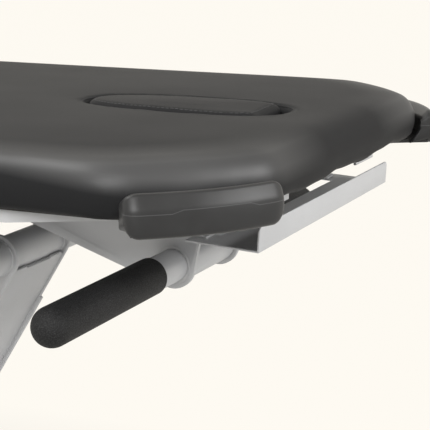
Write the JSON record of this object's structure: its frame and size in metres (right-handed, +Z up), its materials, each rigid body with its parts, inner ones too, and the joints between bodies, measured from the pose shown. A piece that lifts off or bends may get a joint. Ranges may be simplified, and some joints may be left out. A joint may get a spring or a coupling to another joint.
{
  "type": "electric treatment table",
  "caption": "Padded treatment table with a raising head section, a plugged face slot, corner bumpers, a grab bar and tray, on a powered parallelogram lift.",
  "frame": {"origin": "on the floor under the middle of the table's box", "axes": "+X towards the head end, where the face slot is, +Y towards the far long side, +Z up"},
  "size_m": [2.0482, 0.7302, 0.9145],
  "materials": {
    "vinyl": "satin",
    "plastic": "satin",
    "steel": "satin",
    "bright": null,
    "foam": "matte",
    "ply": null,
    "rubber": "matte",
    "housing": null
  },
  "bodies": {
    "base": {"base_rails": "steel", "base_cross_tubes": "steel", "base_caps": "plastic", "base_pivot_plates": "steel", "lower_bushes": "housing", "foot_pads": "rubber", "foot_stems": "bright", "drive_clevis": "steel", "drive_base_pin": "bright", "control_box": "housing", "control_box_lid": "housing", "mains_inlet": "rubber", "switch_housing": "housing"},
    "pedal_up": {"pedal_up": "plastic"},
    "pedal_down": {"pedal_down": "plastic"},
    "front_arm": {"front_arm": "steel", "front_arm_tubes": "steel", "front_pivot_bolts": "bright"},
    "rear_arm": {"rear_arm": "steel", "rear_arm_tubes": "steel", "rear_pivot_bolts": "bright", "drive_arm_pin": "bright"},
    "drive": {"drive_gearbox": "housing", "drive_motor": "housing", "drive_tube": "bright"},
    "drive_rod": {"drive_rod": "bright"},
    "top_frame": {"frame_side_tubes": "steel", "frame_cross_tubes": "steel", "frame_caps": "plastic", "top_pivot_plates": "steel", "upper_bushes": "housing", "seat_side_rails": "steel", "seat_cross_rails": "steel", "seat_board": "ply", "seat_cushion": "vinyl", "bumper_foot_left": "plastic", "bumper_foot_right": "plastic", "hinge_lugs": "steel", "hinge_pins": "bright", "rest_pads": "rubber", "spring_bracket": "steel"},
    "back_section": {"back_side_rails": "steel", "back_cross_rails": "steel", "back_board": "ply", "back_cushion": "vinyl", "bumper_head_left": "plastic", "bumper_head_right": "plastic", "bar_plates": "steel", "grab_bar": "steel", "grip_left": "foam", "grip_right": "foam", "end_tray": "steel", "tray_brackets": "steel", "hinge_clevises": "steel", "spring_pin": "bright", "release_cable": "rubber"},
    "face_plug": {"face_plug": "vinyl"},
    "spring_cylinder": {"spring_cylinder": "rubber"},
    "spring_rod": {"spring_rod": "bright"},
    "release_lever": {"release_lever": "plastic"}
  },
  "joints": [
    {"name": "lift", "type": "hinge", "parent": "base", "child": "front_arm", "pos_m": [0.20116, 0, 0.11], "axis": [0, -1, 0], "range_deg": [-42, 5]},
    {"name": "top_level", "type": "hinge", "parent": "front_arm", "child": "top_frame", "pos_m": [0.588, 0, 0.72908], "axis": [0, -1, 0], "range_deg": [-5.5, 42.5]},
    {"name": "rear_swing", "type": "hinge", "parent": "base", "child": "rear_arm", "pos_m": [-0.49884, 0, 0.11], "axis": [0, -1, 0], "range_deg": [-42.5, 5.5]},
    {"name": "drive_tilt", "type": "hinge", "parent": "base", "child": "drive", "pos_m": [-0.01884, 0, 0.085], "axis": [0, -1, 0], "range_deg": [-4, 1]},
    {"name": "drive_stroke", "type": "slide", "parent": "drive", "child": "drive_rod", "axis": [-0.9091, 0, 0.4165], "range_m": [-0.142, 0.018]},
    {"name": "backrest", "type": "hinge", "parent": "top_frame", "child": "back_section", "pos_m": [0.19, 0, 0.85408], "axis": [0, -1, 0], "range_deg": [0, 65]},
    {"name": "spring_tilt", "type": "hinge", "parent": "top_frame", "child": "spring_cylinder", "pos_m": [0.19, 0, 0.78407], "axis": [0, -1, 0], "range_deg": [0, 60]},
    {"name": "spring_stroke", "type": "slide", "parent": "spring_cylinder", "child": "spring_rod", "axis": [0.9954, 0, 0.0963], "range_m": [0, 0.067]},
    {"name": "plug_lift", "type": "slide", "parent": "back_section", "child": "face_plug", "axis": [0, 0, 1], "range_m": [0, 0.08]},
    {"name": "up_pedal", "type": "hinge", "parent": "base", "child": "pedal_up", "pos_m": [-0.0045, -0.237, 0.068], "axis": [1, 0, 0], "range_deg": [0, 6], "stiffness_Nm_per_rad": 4, "springref_deg": -5.73},
    {"name": "down_pedal", "type": "hinge", "parent": "base", "child": "pedal_down", "pos_m": [-0.0755, -0.237, 0.068], "axis": [1, 0, 0], "range_deg": [0, 6], "stiffness_Nm_per_rad": 4, "springref_deg": -5.73},
    {"name": "release", "type": "hinge", "parent": "back_section", "child": "release_lever", "pos_m": [0.562, -0.313, 0.84308], "axis": [0, -1, 0], "range_deg": [0, 20], "stiffness_Nm_per_rad": 2, "springref_deg": -11.46}
  ],
  "couplings": [
    {"joint": "top_level", "follows": "lift", "ratio": -1},
    {"joint": "rear_swing", "follows": "lift", "ratio": 1},
    {"joint": "drive_tilt", "follows": "lift", "ratio": 0.0826},
    {"joint": "drive_stroke", "follows": "lift", "m_per_rad": 0.19219},
    {"joint": "spring_tilt", "follows": "backrest", "ratio": 0.9164},
    {"joint": "spring_stroke", "follows": "backrest", "m_per_rad": 0.05787}
  ]
}
